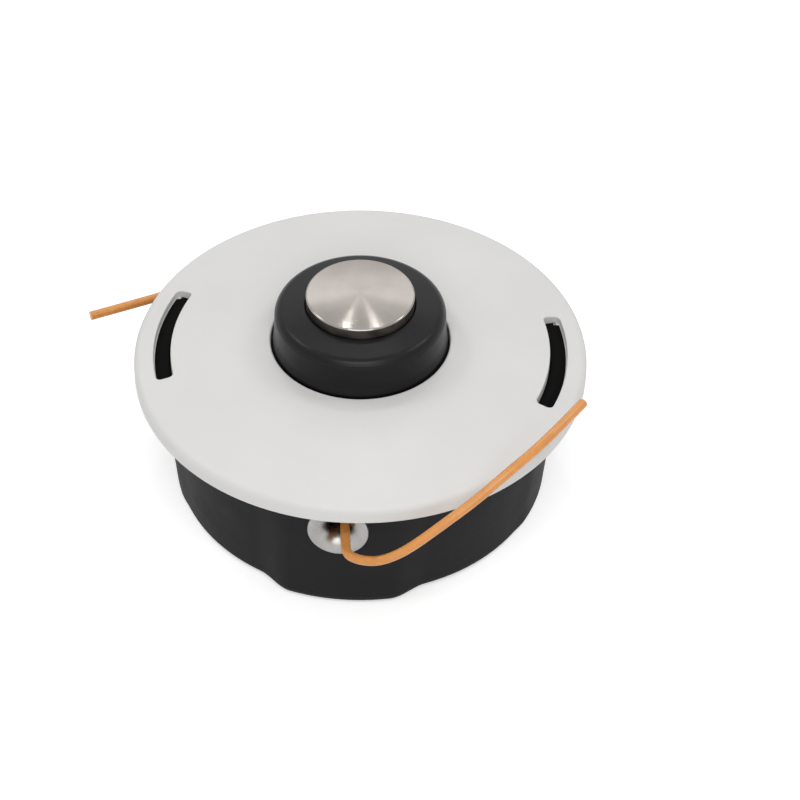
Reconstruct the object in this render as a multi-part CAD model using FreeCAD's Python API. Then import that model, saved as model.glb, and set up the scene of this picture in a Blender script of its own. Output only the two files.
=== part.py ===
import FreeCAD, Part
import math
import os

# Bump feed trimmer head, two lines, standing on its mounting side with the tap knob up.
# Millimetres. The origin is on the head's axis at the surface it stands on, +Z runs up
# the axis to the knob, the line eyelets are on -Y (front) and +Y (rear), and the two
# cover latches are on -X and +X.

V = FreeCAD.Vector
AXIS = V(0, 0, 1)
FULL_TURN = 360.0

# How far one form of a piece is sunk into the next before they are joined
OVERLAP = 0.4

# How far a cutting form runs past the face that it opens
CUT_PAST = 1.0

# Closer than this, two lengths count as the same when edges are picked
NEAR = 1e-3

# Drive end: a steel bush with a fine left-hand thread, moulded into the housing
thread_core_r = 5.19
thread_depth = 19.0
bush_flats = 19.0
bush_set_back = 0.4
bush_end_wall = 0.6
bush_groove_depth = 1.0
bush_groove_width = 3.0
thread_lead_in = 0.9
hub_wall = 2.0
hub_cap = 3.0

# Housing: one black moulding, a drafted drum with a ribbed floor
drum_base_r = 53.8
drum_draft_rise = 3.2
drum_edge_round = 3.5
wall_t = 2.6
floor_t = 2.5
rib_depth = 4.0
rib_set_back = 0.6
rib_t = 2.0
rib_count = 12
foot_width = 7.0
hub_ring_width = 3.0
rim_above_spool = 0.4

# Lobes of the drum: a plateau that stands proud, with smooth ramps down to the wall
eyelet_lobe_base = 3.4
eyelet_lobe_top = 1.2
eyelet_lobe_half = 14.5
eyelet_ramp = 12.0
latch_lobe_base = 0.4
latch_lobe_top = 0.9
latch_lobe_half = 22.0
latch_ramp = 7.0

# Cover latches: tongues of the housing that stand up into the cover's slots
latch_inset = 0.6
latch_t = 2.4
latch_half = 18.3
latch_slit = 1.2
latch_slit_depth = 3.9
hook_over_ledge = 0.7
hook_h = 0.9
hook_tip_h = 0.3
hook_play = 0.05
hook_set_in = 0.5

# Line eyelets: turned steel ferrules with a trumpet mouth
eyelet_flange_r = 8.5
eyelet_flange_t = 1.9
eyelet_rim_round = 0.6
eyelet_rim_flat = 0.7
eyelet_tube_r = 5.0
eyelet_bore_r = 3.2
eyelet_length = 8.3
eyelet_inner_round = 1.2
eyelet_proud = 1.1
eyelet_lip_gap = 1.1
eyelet_seat_gap = 0.2

# Spool: two line chambers between three flanges, with ratchet teeth on both ends
knob_travel = 6.0
flange_r = 45.5
flange_t = 1.7
chamber_h = 11.95
core_r = 21.0
core_wall = 2.2
spool_tube_wall = 2.3
hub_play = 0.3
spool_floor_gap = 0.3
spool_rib_t = 1.6
spool_rib_count = 6
web_t = 3.0
web_above_flange = 2.0
web_spigot_gap = 0.35
park_notch_w = 3.2
park_notch_depth = 5.0
park_notch_count = 2

# Ratchet: the same tooth ring on the spool's ends, in the cover and on the housing floor
tooth_count = 12
tooth_mid_r = 33.0
tooth_radial = 5.0
tooth_w = 5.0
tooth_slope = 1.8
tooth_h = 2.2
tooth_play = 0.4
cover_tooth_phase = 10.0
floor_tooth_phase = 20.0

# Cover: a shallow dome with a turned-down lip and two arc slots for the latches
cover_overhang = 8.0
cover_t = 2.4
crown_above_rim = 7.0
edge_above_rim = 1.1
lip_below_rim = 3.9
lip_t = 2.4
lip_round = 2.0
cover_edge_round = 0.5
cover_ring_t = 2.0
cover_ring_h = 4.0
cover_ring_gap = 0.3
seat_width = 5.5
knob_hole_gap = 0.6
collar_t = 2.2
collar_h = 4.4
slot_in_gap = 0.6
slot_out_gap = 0.35
slot_half = 19.5
slot_corner_r = 1.5
slot_edge_round = 0.3
ledge_gap = 0.4
ledge_t = 1.2
ledge_below_rim = 0.2
pocket_wall_t = 1.4
pocket_past_slot = 1.5

# Tap knob: a black cup on top of the spool, with a steel wear button let into it
knob_foot_r = 25.1
knob_side_r = 24.35
knob_neck_r = 24.6
knob_height = 19.7
knob_shoulder_below_top = 1.9
knob_shoulder_round = 3.0
knob_flare_z = 6.6
knob_flare_h = 2.4
knob_wall = 2.6
knob_top_t = 4.0
knob_boss_r = 6.5
knob_rib_t = 1.6
knob_rib_count = 6
knob_rib_gap = 0.4
peg_r = 2.4
peg_h = 4.0
peg_ring_r = 14.0
peg_count = 2
peg_first = 30.0
knob_recess_round = 0.4
button_r = 15.45
button_gap = 0.15
button_recess = 2.7
button_proud = 3.9
button_dome = 0.8
button_round = 0.5
stud_r = 3.0
stud_hole_gap = 0.2
stud_end = 0.8

# Fastening and spring below the spool's web
washer_r = 6.2
washer_t = 1.2
nut_flats = 10.0
nut_h = 5.0
seat_t = 1.2
seat_lip = 2.0
seat_lip_t = 1.3
seat_web_gap = 0.05
seat_tube_gap = 0.4
seat_washer_gap = 0.7
base_washer_t = 1.0
base_washer_inset = 0.6
base_washer_stud_gap = 3.5
spring_wire_r = 0.8
spring_turns = 5.5
spring_lip_gap = 0.6

# Line: stiff round nylon, 2.7 mm, wound on the spool and led out through the eyelets
line_r = 1.35
coil_depth = 13.0
coil_side_gap = 0.1
coil_turns_across = 4

# Heights up the axis, worked out from the values above
floor_top = rib_depth + floor_t
spool_z = floor_top + tooth_h + spool_floor_gap + knob_travel
lower_chamber_z = spool_z + flange_t
mid_flange_z = lower_chamber_z + chamber_h
upper_chamber_z = mid_flange_z + flange_t
top_flange_z = upper_chamber_z + chamber_h
spool_top = top_flange_z + flange_t
web_top = spool_top + web_above_flange
web_z = web_top - web_t
rim_z = spool_top + rim_above_spool
lip_z = rim_z - lip_below_rim
crown_z = rim_z + crown_above_rim
dome_edge_z = rim_z + edge_above_rim
ledge_top = rim_z - ledge_below_rim
hook_z = ledge_top + hook_play
eyelet_z = lip_z - eyelet_lip_gap - eyelet_flange_r
bush_z = bush_set_back
bush_top = bush_z + thread_depth + bush_end_wall
hub_top = bush_top + hub_cap
knob_top = spool_top + knob_height
button_top = knob_top + button_proud
button_floor = knob_top - button_recess
nut_top = web_z - washer_t
nut_z = nut_top - nut_h
seat_top = web_z - seat_web_gap
seat_z = seat_top - seat_t
spring_z = hub_top + base_washer_t

# Radii from the values above
bush_corner_r = bush_flats / math.sqrt(3.0)
hub_r = bush_corner_r + hub_wall
tube_in_r = hub_r + hub_play
tube_out_r = tube_in_r + spool_tube_wall
core_in_r = core_r - core_wall
coil_r = core_r + coil_depth
rim_r = drum_base_r + drum_draft_rise
rim_in_r = rim_r - wall_t
cover_r = rim_r + cover_overhang
ring_out_r = rim_in_r - cover_ring_gap
ring_in_r = ring_out_r - cover_ring_t
latch_in_r = rim_in_r + latch_inset
latch_out_r = latch_in_r + latch_t
slot_in_r = latch_in_r - slot_in_gap
ledge_r = rim_r + latch_lobe_top + ledge_gap
hook_r = ledge_r + hook_over_ledge
slot_out_r = hook_r + slot_out_gap
knob_hole_r = knob_foot_r + knob_hole_gap
knob_in_r = knob_side_r - knob_wall
web_r = knob_in_r - web_spigot_gap
seat_out_r = tube_in_r - seat_tube_gap
seat_in_r = washer_r + seat_washer_gap
spring_mid_r = seat_out_r - seat_lip_t - spring_lip_gap - spring_wire_r
dome_r = (cover_r ** 2 + (crown_z - dome_edge_z) ** 2) / (2 * (crown_z - dome_edge_z))
eyelet_face_r = rim_r + eyelet_lobe_top + eyelet_proud
tooth_pitch = FULL_TURN / tooth_count


def dome_z(r, drop=0.0):
    """Height of the cover's outer sphere at radius r, or of the same sphere set in by drop."""
    ball = dome_r - drop
    return crown_z - dome_r + math.sqrt(ball ** 2 - r ** 2)


def at(r, degrees, z):
    """Point at a radius and an angle about the head's axis."""
    a = math.radians(degrees)
    return V(r * math.cos(a), r * math.sin(a), z)


def ring(r_in, r_out, z0, z1):
    """Plain ring round the axis."""
    body = Part.makeCylinder(r_out, z1 - z0, V(0, 0, z0))
    hole = Part.makeCylinder(r_in, z1 - z0, V(0, 0, z0))
    return body.cut(hole)


def disc(r, z0, z1):
    return Part.makeCylinder(r, z1 - z0, V(0, 0, z0))


def line_edge(a, b):
    return Part.LineSegment(a, b).toShape()


def arc_edge(a, mid, b):
    return Part.Arc(a, mid, b).toShape()


def sector(r_in, r_out, mid_deg, half_deg, z0, z1):
    """Block bent round the axis, between two radii and two angles."""
    a0 = mid_deg - half_deg
    a1 = mid_deg + half_deg
    outer = arc_edge(at(r_out, a0, z0), at(r_out, mid_deg, z0), at(r_out, a1, z0))
    inner = arc_edge(at(r_in, a1, z0), at(r_in, mid_deg, z0), at(r_in, a0, z0))
    side_a = line_edge(at(r_out, a1, z0), at(r_in, a1, z0))
    side_b = line_edge(at(r_in, a0, z0), at(r_out, a0, z0))
    face = Part.Face(Part.Wire([outer, side_a, inner, side_b]))
    return face.extrude(V(0, 0, z1 - z0))


def turned(points):
    """Solid turned about the axis from (radius, height) points joined by straight lines."""
    path = [V(r, 0, z) for r, z in points]
    face = Part.Face(Part.makePolygon(path + [path[0]]))
    return face.revolve(V(0, 0, 0), AXIS, FULL_TURN)


def turned_edges(edges):
    """Solid turned about the axis from edges drawn in the XZ plane."""
    face = Part.Face(Part.Wire(edges))
    return face.revolve(V(0, 0, 0), AXIS, FULL_TURN)


def circles_at(body, r, z):
    """The body's round edges of one radius at one height."""
    found = []
    for edge in body.Edges:
        box = edge.BoundBox
        level = abs(box.ZMax - z) < NEAR and abs(box.ZMin - z) < NEAR
        if level and hasattr(edge.Curve, "Radius") and abs(edge.Curve.Radius - r) < NEAR:
            found.append(edge)
    return found


def hexagon(flats, z0, z1):
    corner = flats / math.sqrt(3.0)
    points = [at(corner, 60 * i, z0) for i in range(7)]
    return Part.Face(Part.makePolygon(points)).extrude(V(0, 0, z1 - z0))


def spokes(count, r_in, r_out, thickness, z0, z1, first=0.0):
    """Straight radial ribs, evenly spaced round the axis."""
    ribs = []
    for i in range(count):
        rib = Part.makeBox(r_out - r_in, thickness, z1 - z0, V(r_in, -thickness / 2, z0))
        rib.rotate(V(0, 0, 0), AXIS, first + i * FULL_TURN / count)
        ribs.append(rib)
    return ribs


def ratchet_teeth(z_root, height, lean, phase):
    """Ring of saw teeth: one face upright, the other sloped. A negative height hangs them."""
    teeth = []
    r_in = tooth_mid_r - tooth_radial / 2
    for i in range(tooth_count):
        half = tooth_w / 2
        profile = [
            V(r_in, -half, z_root),
            V(r_in, half, z_root),
            V(r_in, half - (tooth_slope if lean > 0 else 0.0), z_root + height),
            V(r_in, -half + (tooth_slope if lean < 0 else 0.0), z_root + height),
        ]
        face = Part.Face(Part.makePolygon(profile + [profile[0]]))
        tooth = face.extrude(V(tooth_radial, 0, 0))
        tooth.rotate(V(0, 0, 0), AXIS, phase + i * tooth_pitch)
        teeth.append(tooth)
    return teeth


def ramp_edge(r_a, deg_a, r_b, deg_b, z):
    """Smooth step in radius that leaves and meets both circles along their tangents."""
    start = at(r_a, deg_a, z)
    end = at(r_b, deg_b, z)
    reach = start.distanceToPoint(end) / 3
    curve = Part.BezierCurve()
    curve.setPoles([start, start + at(reach, deg_a + 90, 0), end - at(reach, deg_b + 90, 0), end])
    return curve.toShape()


def drum_outline(z):
    """Outline of the drum at a height: wall circle with two eyelet lobes and two latch lobes."""
    share = z / rim_z
    wall = drum_base_r + drum_draft_rise * share
    eyelet_r = wall + eyelet_lobe_base + (eyelet_lobe_top - eyelet_lobe_base) * share
    latch_r = wall + latch_lobe_base + (latch_lobe_top - latch_lobe_base) * share
    lobes = [
        (latch_r, 0.0, latch_lobe_half, latch_ramp),
        (eyelet_r, 90.0, eyelet_lobe_half, eyelet_ramp),
        (latch_r, 180.0, latch_lobe_half, latch_ramp),
        (eyelet_r, 270.0, eyelet_lobe_half, eyelet_ramp),
    ]
    edges = []
    for i, (lobe_r, mid, half, ramp) in enumerate(lobes):
        next_r, _, next_half, next_ramp = lobes[(i + 1) % 4]
        wall_from = mid + half + ramp
        wall_to = mid + 90.0 - next_half - next_ramp
        top = at(lobe_r, mid, z)
        edges.append(arc_edge(at(lobe_r, mid - half, z), top, at(lobe_r, mid + half, z)))
        edges.append(ramp_edge(lobe_r, mid + half, wall, wall_from, z))
        middle = at(wall, (wall_from + wall_to) / 2, z)
        edges.append(arc_edge(at(wall, wall_from, z), middle, at(wall, wall_to, z)))
        edges.append(ramp_edge(wall, wall_to, next_r, wall_to + next_ramp, z))
    return Part.Wire(edges)


def drum_body():
    """Solid drum with its draft, its lobes and the rounded edge it stands on."""
    body = Part.makeLoft([drum_outline(0.0), drum_outline(rim_z)], True, True)
    foot_edges = [e for e in body.Edges if all(abs(v.Z) < NEAR for v in e.Vertexes)]
    return body.makeFillet(drum_edge_round, foot_edges)


def latch(mid_deg):
    """Tongue of the drum wall that stands in a cover slot, with its hook over the ledge."""
    tongue_z = rim_z - latch_slit_depth
    tongue = sector(latch_in_r, latch_out_r, mid_deg, latch_half, tongue_z, hook_z + hook_h)
    low = V(latch_out_r - OVERLAP, 0, hook_z)
    tip = V(hook_r, 0, hook_z)
    tip_top = V(hook_r, 0, hook_z + hook_tip_h)
    high = V(latch_out_r - OVERLAP, 0, hook_z + hook_h)
    hook_face = Part.Face(Part.makePolygon([low, tip, tip_top, high, low]))
    hook_half = latch_half - hook_set_in
    hook_face.rotate(V(0, 0, 0), AXIS, mid_deg - hook_half)
    hook = hook_face.revolve(V(0, 0, 0), AXIS, 2 * hook_half)
    return tongue.fuse(hook)


def latch_slits(mid_deg):
    """Slots in the wall on both sides of a latch, which let its tongue bend inwards."""
    slits = []
    slit_in = rim_in_r - CUT_PAST
    slit_out = rim_r + latch_lobe_top + CUT_PAST
    for side in (-1, 1):
        slit = Part.makeBox(slit_out - slit_in, latch_slit, latch_slit_depth + CUT_PAST)
        slit.translate(V(slit_in, -latch_slit / 2, rim_z - latch_slit_depth))
        offset = math.degrees(latch_slit / 2 / latch_in_r)
        slit.rotate(V(0, 0, 0), AXIS, mid_deg + side * (latch_half + offset))
        slits.append(slit)
    return slits


def eyelet_seat():
    """Hollow that holds the front eyelet: a bore for its tube and a pocket for its flange."""
    flange_back = eyelet_face_r - eyelet_flange_t
    inner_end = eyelet_face_r - eyelet_length
    out = V(0, -1, 0)
    bore = Part.makeCylinder(eyelet_tube_r, flange_back - inner_end, V(0, -inner_end, eyelet_z), out)
    pocket_r = eyelet_flange_r + eyelet_seat_gap
    depth = eyelet_flange_t + CUT_PAST
    pocket = Part.makeCylinder(pocket_r, depth, V(0, -flange_back, eyelet_z), out)
    return bore.fuse(pocket)


def make_bush():
    """Hexagon bush with a groove that holds it in the moulding, and its blind core hole."""
    body = hexagon(bush_flats, bush_z, bush_top)
    groove_z = (bush_z + bush_top - bush_groove_width) / 2
    groove_r = bush_flats / 2 - bush_groove_depth
    groove = ring(groove_r, bush_corner_r + CUT_PAST, groove_z, groove_z + bush_groove_width)
    return body.cut(groove)


def make_arbor_bush():
    bore = disc(thread_core_r, bush_z, bush_z + thread_depth)
    lead_in_r = thread_core_r + thread_lead_in
    lead_in = Part.makeCone(lead_in_r, thread_core_r, thread_lead_in, V(0, 0, bush_z))
    return make_bush().cut(bore).cut(lead_in)


def make_housing():
    body = drum_body()
    floor_in_r = drum_base_r + drum_draft_rise * floor_top / rim_z - wall_t
    body = body.cut(Part.makeCone(floor_in_r, rim_in_r, rim_z - floor_top, V(0, 0, floor_top)))
    hub = disc(hub_r, 0.0, hub_top)
    recess_out = drum_base_r - foot_width
    recess_in = hub_r + hub_ring_width
    recess = ring(recess_in, recess_out, 0.0, rib_depth)
    rib_top = rib_depth + OVERLAP
    first_rib = FULL_TURN / rib_count / 2
    rib_in = recess_in - OVERLAP
    rib_out = recess_out + OVERLAP
    ribs = spokes(rib_count, rib_in, rib_out, rib_t, rib_set_back, rib_top, first_rib)
    body = body.cut(recess)
    teeth = ratchet_teeth(floor_top - OVERLAP, tooth_h + OVERLAP, 1, floor_tooth_phase)
    latches = [latch(0.0), latch(180.0)]
    body = body.fuse([hub] + ribs + teeth)
    body = body.cut(latch_slits(0.0) + latch_slits(180.0))
    body = body.fuse(latches)
    front = eyelet_seat()
    rear = front.copy()
    rear.rotate(V(0, 0, 0), AXIS, 180.0)
    body = body.cut([front, rear, make_bush(), disc(bush_corner_r, -CUT_PAST, bush_z)])
    return body.removeSplitter()


def make_eyelet(turn):
    """Ferrule turned about the line's way out, drawn from its bore to its trumpet mouth."""
    inner_end = eyelet_face_r - eyelet_length
    flange_back = eyelet_face_r - eyelet_flange_t
    mouth_r = eyelet_flange_r - eyelet_rim_round - eyelet_rim_flat
    flare = mouth_r - eyelet_bore_r
    s = math.sqrt(0.5)

    def p(out, r):
        return V(0, -out, r)

    inner_mid = p(inner_end + eyelet_inner_round * (1 - s), eyelet_bore_r + eyelet_inner_round * (1 - s))
    flare_mid = p(eyelet_face_r - flare * (1 - s), mouth_r - flare * s)
    rim_mid = p(eyelet_face_r - eyelet_rim_round * (1 - s), eyelet_flange_r - eyelet_rim_round * (1 - s))
    edges = [
        arc_edge(p(inner_end, eyelet_bore_r + eyelet_inner_round), inner_mid,
                 p(inner_end + eyelet_inner_round, eyelet_bore_r)),
        line_edge(p(inner_end + eyelet_inner_round, eyelet_bore_r), p(eyelet_face_r - flare, eyelet_bore_r)),
        arc_edge(p(eyelet_face_r - flare, eyelet_bore_r), flare_mid, p(eyelet_face_r, mouth_r)),
        line_edge(p(eyelet_face_r, mouth_r), p(eyelet_face_r, eyelet_flange_r - eyelet_rim_round)),
        arc_edge(p(eyelet_face_r, eyelet_flange_r - eyelet_rim_round), rim_mid,
                 p(eyelet_face_r - eyelet_rim_round, eyelet_flange_r)),
        line_edge(p(eyelet_face_r - eyelet_rim_round, eyelet_flange_r), p(flange_back, eyelet_flange_r)),
        line_edge(p(flange_back, eyelet_flange_r), p(flange_back, eyelet_tube_r)),
        line_edge(p(flange_back, eyelet_tube_r), p(inner_end, eyelet_tube_r)),
        line_edge(p(inner_end, eyelet_tube_r), p(inner_end, eyelet_bore_r + eyelet_inner_round)),
    ]
    body = Part.Face(Part.Wire(edges)).revolve(V(0, 0, 0), V(0, 1, 0), FULL_TURN)
    body.translate(V(0, 0, eyelet_z))
    body.rotate(V(0, 0, 0), AXIS, turn)
    return body


def make_spool():
    lower = ring(core_in_r, flange_r, spool_z, lower_chamber_z)
    middle = ring(core_in_r, flange_r, mid_flange_z, upper_chamber_z)
    top = ring(core_in_r, flange_r, top_flange_z, spool_top)
    core = ring(core_in_r, core_r, spool_z, spool_top)
    tube_z = floor_top + spool_floor_gap + knob_travel
    tube = ring(tube_in_r, tube_out_r, tube_z, web_z + OVERLAP)
    web = disc(web_r, web_z, web_top)
    rib_in = tube_out_r - OVERLAP
    rib_out = core_in_r + OVERLAP
    ribs = spokes(spool_rib_count, rib_in, rib_out, spool_rib_t, spool_z, web_z + OVERLAP)
    up_teeth = ratchet_teeth(spool_top - OVERLAP, tooth_h + OVERLAP, -1, 0.0)
    down_teeth = ratchet_teeth(spool_z + OVERLAP, -tooth_h - OVERLAP, -1, 0.0)
    pegs = []
    for i in range(peg_count):
        base = at(peg_ring_r, peg_first + i * FULL_TURN / peg_count, web_top - OVERLAP)
        pegs.append(Part.makeCylinder(peg_r, peg_h + OVERLAP, base))
    body = core.fuse([lower, middle, top, tube, web] + ribs + up_teeth + down_teeth + pegs)
    notches = []
    notch_z = mid_flange_z - CUT_PAST
    notch_h = spool_top + CUT_PAST - notch_z
    for i in range(park_notch_count):
        notch = Part.makeBox(park_notch_depth + CUT_PAST, park_notch_w, notch_h)
        notch.translate(V(flange_r - park_notch_depth, -park_notch_w / 2, notch_z))
        notch.rotate(V(0, 0, 0), AXIS, tooth_pitch / 2 + i * FULL_TURN / park_notch_count)
        notches.append(notch)
    stud_hole = disc(stud_r + stud_hole_gap, web_z - CUT_PAST, web_top + CUT_PAST)
    return body.cut(notches + [stud_hole]).removeSplitter()


def make_knob():
    flare_z = spool_top + knob_flare_z
    neck_z = flare_z + knob_flare_h
    shoulder_z = knob_top - knob_shoulder_below_top
    recess_r = button_r + button_gap
    outline = [
        (0, spool_top), (knob_foot_r, spool_top), (knob_foot_r, flare_z),
        (knob_neck_r, neck_z), (knob_side_r, shoulder_z),
        (recess_r, knob_top), (0, knob_top),
    ]
    body = turned(outline)
    body = body.makeFillet(knob_shoulder_round, circles_at(body, knob_side_r, shoulder_z))
    roof_z = button_floor - knob_top_t
    root_z = roof_z + OVERLAP
    hollow = disc(knob_in_r, spool_top, roof_z)
    boss = disc(knob_boss_r, web_top, root_z)
    rib_in = knob_boss_r - OVERLAP
    rib_out = knob_in_r + OVERLAP
    ribs = spokes(knob_rib_count, rib_in, rib_out, knob_rib_t, web_top + knob_rib_gap, root_z)
    body = body.cut(hollow).fuse([boss] + ribs)
    recess = disc(recess_r, button_floor, knob_top + CUT_PAST)
    stud_hole = disc(stud_r + stud_hole_gap, web_top - CUT_PAST, button_floor + CUT_PAST)
    body = body.cut([recess, stud_hole]).removeSplitter()
    return body.makeFillet(knob_recess_round, circles_at(body, recess_r, knob_top))


def make_wear_button():
    """Steel disc with a low crown and a rounded edge, and the stud that holds the knob down."""
    edge_z = button_top - button_dome
    crown_ball = (button_r ** 2 + button_dome ** 2) / (2 * button_dome)
    half_way_z = button_top - crown_ball + math.sqrt(crown_ball ** 2 - button_r ** 2 / 4)
    edges = [
        line_edge(V(0, 0, nut_z - stud_end), V(stud_r, 0, nut_z - stud_end)),
        line_edge(V(stud_r, 0, nut_z - stud_end), V(stud_r, 0, button_floor)),
        line_edge(V(stud_r, 0, button_floor), V(button_r, 0, button_floor)),
        line_edge(V(button_r, 0, button_floor), V(button_r, 0, edge_z)),
        arc_edge(V(button_r, 0, edge_z), V(button_r / 2, 0, half_way_z), V(0, 0, button_top)),
        line_edge(V(0, 0, button_top), V(0, 0, nut_z - stud_end)),
    ]
    body = turned_edges(edges)
    return body.makeFillet(button_round, circles_at(body, button_r, edge_z))


def make_button_washer():
    return ring(stud_r + stud_hole_gap, washer_r, nut_top, web_z)


def make_button_nut():
    body = hexagon(nut_flats, nut_z, nut_top)
    return body.cut(disc(stud_r, nut_z, nut_top))


def make_spring_seat():
    """Washer with a turned-down lip: it slides with the spool but does not turn with it."""
    plate = ring(seat_in_r, seat_out_r, seat_z, seat_top)
    lip = ring(seat_out_r - seat_lip_t, seat_out_r, seat_z - seat_lip, seat_z)
    return plate.fuse(lip).removeSplitter()


def make_spring_base():
    return ring(stud_r + base_washer_stud_gap, hub_r - base_washer_inset, hub_top, spring_z)


def make_return_spring():
    """Round-wire compression spring between the base washer and the sliding seat."""
    height = seat_z - spring_z - 2 * spring_wire_r
    coil = Part.makeHelix(height / spring_turns, height, spring_mid_r)
    coil.translate(V(0, 0, spring_z + spring_wire_r))
    start = V(spring_mid_r, 0, spring_z + spring_wire_r)
    section = Part.Wire(Part.makeCircle(spring_wire_r, start, V(0, 1, 0)))
    return Part.Wire(coil.Edges).makePipeShell([section], True, True)


def slot_mouth_edges(body):
    """Edges where the cover's outer sphere meets the walls of the latch slots."""
    edges = []
    for edge in body.Edges:
        middle = edge.valueAt((edge.FirstParameter + edge.LastParameter) / 2)
        r = math.hypot(middle.x, middle.y)
        in_slot = slot_in_r - CUT_PAST < r < slot_out_r + CUT_PAST
        if in_slot and abs(middle.z - dome_z(r)) < NEAR:
            edges.append(edge)
    return edges


def make_cover():
    """Domed cover turned in one piece: dome, lip, locating ring and collar, then the slots."""
    r_edge = cover_r
    under = cover_t
    ring_z = rim_z - cover_ring_h
    seat_r = ring_out_r + seat_width
    lip_in_r = cover_r - lip_t
    collar_in = knob_hole_r
    collar_out = knob_hole_r + collar_t
    collar_z = dome_z(collar_in) - collar_h
    top_mid_r = (collar_in + r_edge) / 2
    under_mid_r = (collar_out + ring_in_r) / 2

    def p(r, z):
        return V(r, 0, z)

    def under_z(r):
        return dome_z(r, under)

    outside = [
        line_edge(p(collar_in, collar_z), p(collar_in, dome_z(collar_in))),
        arc_edge(p(collar_in, dome_z(collar_in)), p(top_mid_r, dome_z(top_mid_r)), p(r_edge, dome_edge_z)),
        line_edge(p(r_edge, dome_edge_z), p(r_edge, lip_z)),
        line_edge(p(r_edge, lip_z), p(lip_in_r, lip_z)),
        line_edge(p(lip_in_r, lip_z), p(lip_in_r, under_z(lip_in_r))),
        line_edge(p(lip_in_r, under_z(lip_in_r)), p(seat_r, under_z(lip_in_r))),
        line_edge(p(seat_r, under_z(lip_in_r)), p(seat_r, rim_z)),
        line_edge(p(seat_r, rim_z), p(ring_out_r, rim_z)),
        line_edge(p(ring_out_r, rim_z), p(ring_out_r, ring_z)),
        line_edge(p(ring_out_r, ring_z), p(ring_in_r, ring_z)),
        line_edge(p(ring_in_r, ring_z), p(ring_in_r, under_z(ring_in_r))),
        arc_edge(p(ring_in_r, under_z(ring_in_r)), p(under_mid_r, under_z(under_mid_r)),
                 p(collar_out, under_z(collar_out))),
        line_edge(p(collar_out, under_z(collar_out)), p(collar_out, collar_z)),
        line_edge(p(collar_out, collar_z), p(collar_in, collar_z)),
    ]
    body = turned_edges(outside)
    body = body.makeFillet(lip_round, circles_at(body, r_edge, dome_edge_z))
    body = body.makeFillet(cover_edge_round, circles_at(body, collar_in, dome_z(collar_in)))
    body = body.makeFillet(cover_edge_round, circles_at(body, r_edge, lip_z))
    root_z = dome_z(tooth_mid_r + tooth_radial / 2, under / 2)
    teeth = ratchet_teeth(root_z, spool_top + tooth_play - root_z, 1, cover_tooth_phase)
    body = body.fuse(teeth)
    slot_z = ledge_top - ledge_t
    pocket_half = slot_half + pocket_past_slot
    pocket_out_r = slot_out_r + pocket_wall_t
    pocket_top = dome_z(pocket_out_r, under / 2)
    slots = []
    for mid in (0.0, 180.0):
        pocket = sector(ledge_r, pocket_out_r, mid, pocket_half, slot_z, pocket_top)
        body = body.fuse(pocket)
        slot = sector(slot_in_r, slot_out_r, mid, slot_half, slot_z - CUT_PAST, crown_z)
        tall = crown_z - slot_z + CUT_PAST
        upright = [e for e in slot.Edges if abs(e.BoundBox.ZLength - tall) < NEAR]
        slot = slot.makeFillet(slot_corner_r, upright)
        ledge = sector(ledge_r, cover_r, mid, pocket_half, slot_z, ledge_top)
        slots.append(slot.cut(ledge))
    body = body.cut(slots).removeSplitter()
    return body.makeFillet(slot_edge_round, slot_mouth_edges(body))


def make_coil(z0):
    """Outer form of the line wound in one chamber: the last layer's turns on a plain body."""
    low = z0 + coil_side_gap
    high = z0 + chamber_h - coil_side_gap
    turn_r = coil_r - line_r
    body = ring(core_r, turn_r, low, high)
    pitch = (high - low) / coil_turns_across
    turns = []
    for i in range(coil_turns_across):
        turns.append(Part.makeTorus(turn_r, line_r, V(0, 0, low + (i + 0.5) * pitch)))
    return body.fuse(turns).removeSplitter()


def cord(name, points, radius):
    """Round cord along straight runs joined by tangent arcs as large as the runs allow."""
    edges = []
    here = points[0]
    length = 0.0
    radii = []
    for i in range(1, len(points) - 1):
        before = points[i] - points[i - 1]
        after = points[i + 1] - points[i]
        turn = before.getAngle(after)
        trim = 0.45 * min(before.Length, after.Length)
        bend = trim / math.tan(turn / 2)
        radii.append(bend)
        u = V(before).normalize()
        w = V(after).normalize()
        start = points[i] - u * trim
        end = points[i] + w * trim
        inward = (w - u).normalize()
        centre = points[i] + inward * (bend / math.cos(turn / 2))
        middle = centre - inward * bend
        edges.append(line_edge(here, start))
        edges.append(arc_edge(start, middle, end))
        length += here.distanceToPoint(start) + bend * turn
        here = end
    edges.append(line_edge(here, points[-1]))
    length += here.distanceToPoint(points[-1])
    section = Part.Wire(Part.makeCircle(radius, points[0], points[1] - points[0]))
    tube = Part.Wire(edges).makePipeShell([section], True, False)
    volume = math.pi * radius ** 2 * length
    print(name, "length", round(length, 2), "volume share", round(tube.Volume / volume, 4))
    print("  radii", [round(r, 1) for r in radii])
    return tube


def half_turn(points):
    """The same route on the other side of the head."""
    return [V(-p.x, -p.y, p.z) for p in points]


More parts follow.
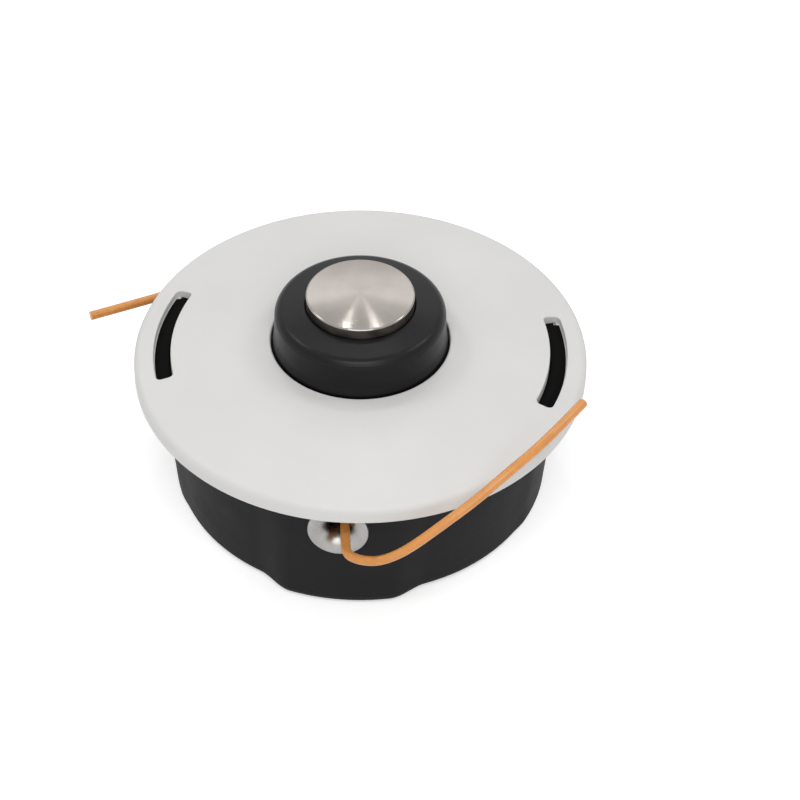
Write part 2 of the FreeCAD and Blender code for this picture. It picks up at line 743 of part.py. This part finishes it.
# Line routes, as points chosen by hand
front_lead = [
    V(-26.2, -24.2, 33.4),
    V(-15.6, -35.6, 33.1),
    V(-6.4, -44.2, 32.5),
    V(0.9, -50.4, 31.6),
    V(2.1, -59.3, 31.1),
]
front_tail = [
    V(2.1, -59.3, 31.1),
    V(2.6, -63.0, 30.9),
    V(3.4, -67.3, 30.8),
    V(8.0, -69.3, 31.0),
    V(13.2, -69.7, 32.0),
    V(19.8, -68.2, 35.2),
    V(28.4, -64.6, 41.6),
    V(37.7, -59.7, 47.9),
    V(45.9, -53.6, 53.3),
    V(52.8, -46.7, 56.0),
    V(58.9, -38.1, 57.3),
    V(64.6, -28.2, 57.3),
]
rear_tail = half_turn([
    V(2.1, -59.3, 31.1),
    V(2.75, -64.2, 30.8),
    V(5.7, -68.5, 30.9),
    V(11.6, -68.9, 30.9),
    V(21.2, -62.6, 31.1),
    V(34.8, -52.6, 31.2),
    V(50.5, -42.3, 31.2),
    V(66.6, -32.3, 31.3),
    V(83.6, -22.9, 31.2),
])
rear_lead = half_turn([
    V(-44.6, -1.4, 19.6),
    V(-45.6, -14.9, 20.2),
    V(-40.4, -27.2, 23.3),
    V(-31.1, -37.6, 27.3),
    V(-19.2, -44.9, 30.2),
    V(-6.6, -47.6, 31.3),
    V(1.2, -52.3, 31.5),
    V(2.1, -59.3, 31.1),
])


def make_all():
    return {
        "housing": make_housing(),
        "arbor_bush": make_arbor_bush(),
        "eyelet_front": make_eyelet(0.0),
        "eyelet_rear": make_eyelet(180.0),
        "spring_base_washer": make_spring_base(),
        "return_spring": make_return_spring(),
        "spring_seat": make_spring_seat(),
        "spool": make_spool(),
        "tap_knob": make_knob(),
        "wear_button": make_wear_button(),
        "button_washer": make_button_washer(),
        "button_nut": make_button_nut(),
        "cover": make_cover(),
        "line_coil_upper": make_coil(upper_chamber_z),
        "line_coil_lower": make_coil(lower_chamber_z),
        "line_lead_front": cord("line_lead_front", front_lead, line_r),
        "line_lead_rear": cord("line_lead_rear", rear_lead, line_r),
        "line_tail_front": cord("line_tail_front", front_tail, line_r),
        "line_tail_rear": cord("line_tail_rear", rear_tail, line_r),
    }


os.makedirs("parts", exist_ok=True)
for node, shape in make_all().items():
    solids = shape.Solids
    print(node, "solids", len(solids), "valid", shape.isValid(), "volume", round(shape.Volume, 1))
    out = solids[0] if len(solids) == 1 else Part.makeCompound(solids)
    out.exportStep("parts/" + node + ".step")
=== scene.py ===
import math

import bpy
from mathutils import Matrix, Vector


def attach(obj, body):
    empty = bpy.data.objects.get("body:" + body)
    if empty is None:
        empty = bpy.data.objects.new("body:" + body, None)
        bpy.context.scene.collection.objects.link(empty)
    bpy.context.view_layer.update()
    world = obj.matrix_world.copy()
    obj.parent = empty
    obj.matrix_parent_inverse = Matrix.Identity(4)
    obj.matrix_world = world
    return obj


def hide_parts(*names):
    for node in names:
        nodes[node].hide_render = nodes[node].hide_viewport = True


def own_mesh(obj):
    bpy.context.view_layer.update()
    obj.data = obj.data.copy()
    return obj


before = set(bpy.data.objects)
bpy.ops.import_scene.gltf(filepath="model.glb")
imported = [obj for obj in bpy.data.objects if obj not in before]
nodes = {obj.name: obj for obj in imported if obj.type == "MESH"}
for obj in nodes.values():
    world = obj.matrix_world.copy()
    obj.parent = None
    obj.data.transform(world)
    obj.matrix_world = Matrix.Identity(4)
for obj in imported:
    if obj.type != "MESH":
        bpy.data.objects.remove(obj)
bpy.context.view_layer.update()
scene = bpy.context.scene
scene.view_settings.view_transform = "Standard"

MM = 0.001


# Camera: 42 degrees up and 6 degrees to the right of the front, 0.8 m from the head
def add_camera():
    up_angle = math.radians(41.99)
    side_angle = math.radians(6.04)
    distance = 0.8
    target = Vector((0, 0, 0.0412))
    flat = math.cos(up_angle)
    back = Vector((math.sin(side_angle) * flat, -math.cos(side_angle) * flat, math.sin(up_angle)))
    right = Vector((math.cos(side_angle), math.sin(side_angle), 0))
    up = back.cross(right)
    data = bpy.data.cameras.new("camera")
    data.sensor_width = 36.0
    data.lens = 124.87
    data.shift_x = 0.0496
    data.shift_y = -0.0479
    data.clip_start = 0.01
    data.clip_end = 20.0
    cam = bpy.data.objects.new("camera", data)
    turn = Matrix((right, up, back)).transposed().to_4x4()
    cam.matrix_world = Matrix.Translation(target + back * distance) @ turn
    scene.collection.objects.link(cam)
    scene.camera = cam


add_camera()


# Line tails: the same route points as the solids, in millimetres
LINE_D = 2.7 * MM
SHARP_FROM = math.radians(50)

front_tail = [
    (2.1, -59.3, 31.1),
    (2.6, -63.0, 30.9),
    (3.4, -67.3, 30.8),
    (8.0, -69.3, 31.0),
    (13.2, -69.7, 32.0),
    (19.8, -68.2, 35.2),
    (28.4, -64.6, 41.6),
    (37.7, -59.7, 47.9),
    (45.9, -53.6, 53.3),
    (52.8, -46.7, 56.0),
    (58.9, -38.1, 57.3),
    (64.6, -28.2, 57.3),
]
rear_tail = [
    (-2.1, 59.3, 31.1),
    (-2.75, 64.2, 30.8),
    (-5.7, 68.5, 30.9),
    (-11.6, 68.9, 30.9),
    (-21.2, 62.6, 31.1),
    (-34.8, 52.6, 31.2),
    (-50.5, 42.3, 31.2),
    (-66.6, 32.3, 31.3),
    (-83.6, 22.9, 31.2),
]


def curve_mesh(curve):
    """Mesh of a curve as it stands, at rest in the row frame."""
    carrier = bpy.data.objects.new("carrier", curve)
    scene.collection.objects.link(carrier)
    bpy.context.view_layer.update()
    graph = bpy.context.evaluated_depsgraph_get()
    mesh = bpy.data.meshes.new_from_object(carrier.evaluated_get(graph))
    bpy.data.objects.remove(carrier)
    return mesh


def route_curve(points):
    """Smooth spline with the route's points as its control points."""
    curve = bpy.data.curves.new("route", "CURVE")
    curve.dimensions = "3D"
    curve.resolution_u = 16
    spline = curve.splines.new("NURBS")
    spline.points.add(len(points) - 1)
    for point, (x, y, z) in zip(spline.points, points):
        point.co = (x * MM, y * MM, z * MM, 1.0)
    spline.order_u = 3
    spline.use_endpoint_u = True
    return curve


def add_tail(name, node, points):
    middle = [list(v.co) for v in curve_mesh(route_curve(points)).vertices]
    round_line = route_curve(points)
    round_line.bevel_depth = LINE_D / 2
    round_line.bevel_resolution = 8
    round_line.use_fill_caps = True
    mesh = curve_mesh(round_line)
    mesh.shade_smooth()
    mesh.set_sharp_from_angle(angle=SHARP_FROM)
    tail = bpy.data.objects.new(name, mesh)
    scene.collection.objects.link(tail)
    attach(tail, "housing")
    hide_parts(node)
    return tail


tails = [
    add_tail("front_line", "line_tail_front", front_tail),
    add_tail("rear_line", "line_tail_rear", rear_tail),
]


def add_spring():
    solid = nodes["return_spring"]
    coil = bpy.data.objects.new("spring_coil", solid.data.copy())
    scene.collection.objects.link(coil)
    coil.matrix_world = solid.matrix_world.copy()
    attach(coil, "housing")
    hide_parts("return_spring")
    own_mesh(coil)
    return coil


spring = add_spring()


# Materials: where most of a noise texture's values lie
NOISE_LOW = 0.3
NOISE_HIGH = 0.7


class Nodes:
    """Short hand for building one material's node tree."""

    def __init__(self, name):
        self.material = bpy.data.materials.new(name)
        self.material.use_nodes = True
        self.tree = self.material.node_tree
        self.shader = self.tree.nodes["Principled BSDF"]
        self.output = self.tree.nodes["Material Output"]
        coords = self.tree.nodes.new("ShaderNodeTexCoord")
        self.place = coords.outputs["Object"]

    def add(self, kind, **values):
        node = self.tree.nodes.new(kind)
        for key, value in values.items():
            setattr(node, key, value)
        return node

    def link(self, a, b):
        self.tree.links.new(a, b)

    def set(self, **values):
        for key, value in values.items():
            self.shader.inputs[key.replace("_", " ")].default_value = value

    def stretched(self, scale):
        """The object's coordinates, scaled along each axis."""
        mapping = self.add("ShaderNodeMapping")
        mapping.inputs["Scale"].default_value = scale
        self.link(self.place, mapping.inputs["Vector"])
        return mapping.outputs["Vector"]

    def noise(self, scale, detail, roughness=0.5, place=None):
        node = self.add("ShaderNodeTexNoise")
        node.inputs["Scale"].default_value = scale
        node.inputs["Detail"].default_value = detail
        node.inputs["Roughness"].default_value = roughness
        self.link(place or self.place, node.inputs["Vector"])
        return node.outputs["Fac"]

    def colour(self, value, low, high, value_high=NOISE_HIGH):
        """Base colour that goes from low to high with a noise value."""
        node = self.add("ShaderNodeValToRGB")
        first, last = node.color_ramp.elements
        first.position = NOISE_LOW
        first.color = (*low, 1.0)
        last.position = value_high
        last.color = (*high, 1.0)
        self.link(value, node.inputs["Fac"])
        self.link(node.outputs["Color"], self.shader.inputs["Base Color"])

    def roughness(self, value, low, high):
        """Roughness that goes from low to high with a noise value."""
        node = self.add("ShaderNodeMapRange")
        node.inputs["From Min"].default_value = NOISE_LOW
        node.inputs["From Max"].default_value = NOISE_HIGH
        node.inputs["To Min"].default_value = low
        node.inputs["To Max"].default_value = high
        self.link(value, node.inputs["Value"])
        self.link(node.outputs["Result"], self.shader.inputs["Roughness"])

    def relief(self, height, strength, depth, under=None):
        """Bump of the given depth on the surface, on top of another bump if there is one."""
        node = self.add("ShaderNodeBump")
        node.inputs["Strength"].default_value = strength
        node.inputs["Distance"].default_value = depth
        self.link(height, node.inputs["Height"])
        if under is not None:
            self.link(under, node.inputs["Normal"])
        self.link(node.outputs["Normal"], self.shader.inputs["Normal"])
        return node.outputs["Normal"]

    def turned(self, axis, amount):
        """Gloss of steel that was turned about one of the object's axes."""
        tangent = self.add("ShaderNodeTangent", direction_type="RADIAL", axis=axis)
        self.link(tangent.outputs["Tangent"], self.shader.inputs["Tangent"])
        self.set(Anisotropic=amount, Anisotropic_Rotation=0.25)


def cover_nylon():
    m = Nodes("cover_nylon")
    m.colour(m.noise(28.0, 4.0), (0.690, 0.684, 0.670), (0.725, 0.719, 0.705))
    m.roughness(m.noise(160.0, 3.0), 0.44, 0.54)
    m.relief(m.noise(2600.0, 2.0), 0.16, 0.12 * MM)
    m.set(Specular_IOR_Level=0.35)
    return m.material


def black_nylon(name, low, high, rough, relief, gloss):
    m = Nodes(name)
    flow = m.noise(55.0, 5.0, 0.6, m.stretched((1.0, 1.0, 2.2)))
    m.colour(flow, low, high, 0.72)
    m.roughness(flow, *rough)
    soft = m.relief(m.noise(210.0, 3.0), relief, 0.25 * MM)
    m.relief(m.noise(1500.0, 3.0, 0.6), relief, 0.10 * MM, soft)
    m.set(Specular_IOR_Level=gloss)
    return m.material


def lathe_marks(m):
    """Fine rings: noise that changes only with the distance from the head's axis."""
    radius = m.add("ShaderNodeVectorMath", operation="LENGTH")
    m.link(m.stretched((1.0, 1.0, 0.0)), radius.inputs[0])
    spread = m.add("ShaderNodeCombineXYZ")
    m.link(radius.outputs["Value"], spread.inputs["X"])
    return m.noise(2600.0, 4.0, 0.7, spread.outputs["Vector"])


def turned_button():
    m = Nodes("button_steel")
    marks = lathe_marks(m)
    m.colour(m.noise(90.0, 3.0), (0.300, 0.275, 0.256), (0.348, 0.321, 0.298))
    m.roughness(marks, 0.13, 0.17)
    m.relief(marks, 0.12, 0.06 * MM)
    m.set(Metallic=1.0)
    m.turned("Z", 0.9)
    return m.material


def steel(name, low, high, rough, turned_axis=None):
    m = Nodes(name)
    clouds = m.noise(220.0, 4.0)
    m.colour(clouds, low, high)
    m.roughness(clouds, *rough)
    m.relief(m.noise(2400.0, 2.0), 0.08, 0.06 * MM)
    m.set(Metallic=1.0)
    if turned_axis:
        m.turned(turned_axis, 0.8)
    return m.material


def line_nylon():
    m = Nodes("line_nylon")
    m.colour(m.noise(120.0, 3.0), (0.655, 0.268, 0.060), (0.728, 0.318, 0.083))
    m.roughness(m.noise(300.0, 2.0), 0.22, 0.32)
    m.relief(m.noise(700.0, 2.0), 0.04, 0.10 * MM)
    m.set(Specular_IOR_Level=0.5, Subsurface_Weight=0.25, Subsurface_Scale=1.2 * MM,
          Subsurface_Radius=(1.0, 0.45, 0.2))
    return m.material


line_skin = line_nylon()
spring_skin = steel("spring_steel", (0.36, 0.36, 0.37), (0.46, 0.46, 0.47), (0.28, 0.38))
# Painted reflection: darker, duller steel for the button's side wall, standing in for the dark knob
# it reflects
button_wall_painted_reflection = steel("button_wall_painted_reflection", (0.10, 0.088, 0.078), (0.16, 0.142, 0.128), (0.34, 0.46))
# Painted shade: near-black nylon for the latch tongues' tops, standing in for the shadow deep in
# the cover's slots
latch_painted_shade_skin = black_nylon("latch_painted_shade_nylon", (0.0015, 0.0014, 0.0014), (0.0035, 0.0032, 0.0030),
                         (0.55, 0.70), 0.22, 0.04)

skins = [
    (black_nylon("black_nylon", (0.0100, 0.0100, 0.0109), (0.0155, 0.0155, 0.0168),
                 (0.56, 0.68), 0.22, 0.12), ["housing"]),
    (black_nylon("knob_nylon", (0.0040, 0.0038, 0.0045), (0.0075, 0.0072, 0.0083),
                 (0.28, 0.36), 0.12, 0.20), ["tap_knob"]),
    (black_nylon("spool_nylon", (0.014, 0.014, 0.016), (0.021, 0.021, 0.023),
                 (0.42, 0.52), 0.22, 0.28), ["spool"]),
    (cover_nylon(), ["cover"]),
    (turned_button(), ["wear_button"]),
    (steel("eyelet_steel", (0.30, 0.292, 0.281), (0.38, 0.372, 0.361), (0.24, 0.32), "Y"),
     ["eyelet_front", "eyelet_rear"]),
    (steel("plated_steel", (0.56, 0.56, 0.57), (0.66, 0.66, 0.66), (0.28, 0.40)),
     ["arbor_bush", "spring_base_washer", "spring_seat", "button_washer", "button_nut"]),
    (spring_skin, ["return_spring"]),
    (line_skin, ["line_coil_upper", "line_coil_lower", "line_lead_front", "line_lead_rear",
                 "line_tail_front", "line_tail_rear"]),
]


def dress(piece, skin):
    piece.data.materials.clear()
    piece.data.materials.append(skin)


def dress_part(node, skin, is_chosen):
    """Second material on the faces of a node that is_chosen picks."""
    mesh = nodes[node].data
    mesh.materials.append(skin)
    for face in mesh.polygons:
        if is_chosen(face):
            face.material_index = 1


for skin, names in skins:
    for name in names:
        dress(nodes[name], skin)
for tail in tails:
    dress(tail, line_skin)
dress(spring, spring_skin)

# The latch tongues stand deep in the cover's slots: painted shade, their black is darker than the
# drum's to stand in for the shadow in the slots, and their gloss is lower
LATCH_Z = 44.2 * MM
dress_part("housing", latch_painted_shade_skin, lambda face: face.center.z > LATCH_Z)

# Painted reflection: the button's side wall gets a darker, duller steel that stands in for the dark
# knob it reflects, while the face keeps the bright turned steel
WALL_SLOPE = 0.3
dress_part("wear_button", button_wall_painted_reflection, lambda face: abs(face.normal.z) < WALL_SLOPE)


# Floor, world and lamps
FLOOR_HALF = 3.0
FLOOR_COLOUR = 0.90
FLOOR_GLOW = 0.45
AMBIENT = 0.46
LAMP_AIM = Vector((0, 0, 0.04))


def seen_share(tree):
    """One for camera, glossy and transmission rays, else nought."""
    path = tree.nodes.new("ShaderNodeLightPath")
    total = path.outputs["Is Camera Ray"]
    for output in ("Is Glossy Ray", "Is Transmission Ray"):
        add = tree.nodes.new("ShaderNodeMath")
        add.operation = "MAXIMUM"
        tree.links.new(total, add.inputs[0])
        tree.links.new(path.outputs[output], add.inputs[1])
        total = add.outputs["Value"]
    return total


def add_floor():
    mesh = bpy.data.meshes.new("floor")
    corners = [(x * FLOOR_HALF, y * FLOOR_HALF, 0) for x, y in ((-1, -1), (1, -1), (1, 1), (-1, 1))]
    mesh.from_pydata(corners, [], [(0, 1, 2, 3)])
    floor = bpy.data.objects.new("floor", mesh)
    scene.collection.objects.link(floor)
    m = Nodes("floor")
    tree = m.tree
    tree.nodes.remove(m.shader)
    diffuse = m.add("ShaderNodeBsdfDiffuse")
    diffuse.inputs["Color"].default_value = (FLOOR_COLOUR, FLOOR_COLOUR, FLOOR_COLOUR, 1.0)
    glow = m.add("ShaderNodeEmission")
    lift = m.add("ShaderNodeMath", operation="MULTIPLY")
    m.link(seen_share(tree), lift.inputs[0])
    lift.inputs[1].default_value = FLOOR_GLOW
    m.link(lift.outputs["Value"], glow.inputs["Strength"])
    both = m.add("ShaderNodeAddShader")
    m.link(diffuse.outputs["BSDF"], both.inputs[0])
    m.link(glow.outputs["Emission"], both.inputs[1])
    m.link(both.outputs["Shader"], m.output.inputs["Surface"])
    mesh.materials.append(m.material)


def add_world():
    world = bpy.data.worlds.new("studio")
    world.use_nodes = True
    scene.world = world
    tree = world.node_tree
    back = tree.nodes["Background"]
    back.inputs["Color"].default_value = (1.0, 1.0, 1.0, 1.0)
    mix = tree.nodes.new("ShaderNodeMapRange")
    mix.inputs["To Min"].default_value = AMBIENT
    mix.inputs["To Max"].default_value = 1.0
    tree.links.new(seen_share(tree), mix.inputs["Value"])
    tree.links.new(mix.outputs["Result"], back.inputs["Strength"])


def add_lamp(name, place, width, depth, power):
    data = bpy.data.lights.new(name, "AREA")
    data.shape = "RECTANGLE"
    data.size = width
    data.size_y = depth
    data.energy = power
    lamp = bpy.data.objects.new(name, data)
    lamp.location = place
    away = Vector(place) - LAMP_AIM
    lamp.rotation_euler = away.to_track_quat("Z", "Y").to_euler()
    scene.collection.objects.link(lamp)


add_floor()
add_world()

# Each lamp's place and size in metres and its power in watts.
# The two small ones draw the narrow streaks on the turned button.
lamps = {
    "streak_left": ((-0.119, 0.466, 0.860), 0.02, 0.05, 0.31),
    "streak_right": ((0.032, 0.475, 0.862), 0.02, 0.05, 0.35),
    "top_front": ((0.05, -0.52, 0.88), 0.6, 0.10, 2.5),
    "top_left": ((-0.55, 0.25, 0.80), 0.2, 0.2, 0.9),
    "top_right": ((0.58, 0.25, 0.80), 0.2, 0.2, 0.9),
    "back": ((-0.05, 0.80, 0.70), 1.0, 0.22, 0.6),
    "front": ((0.14, -1.05, 0.70), 0.9, 0.3, 2.8),
}
for lamp_name, values in lamps.items():
    add_lamp(lamp_name, *values)
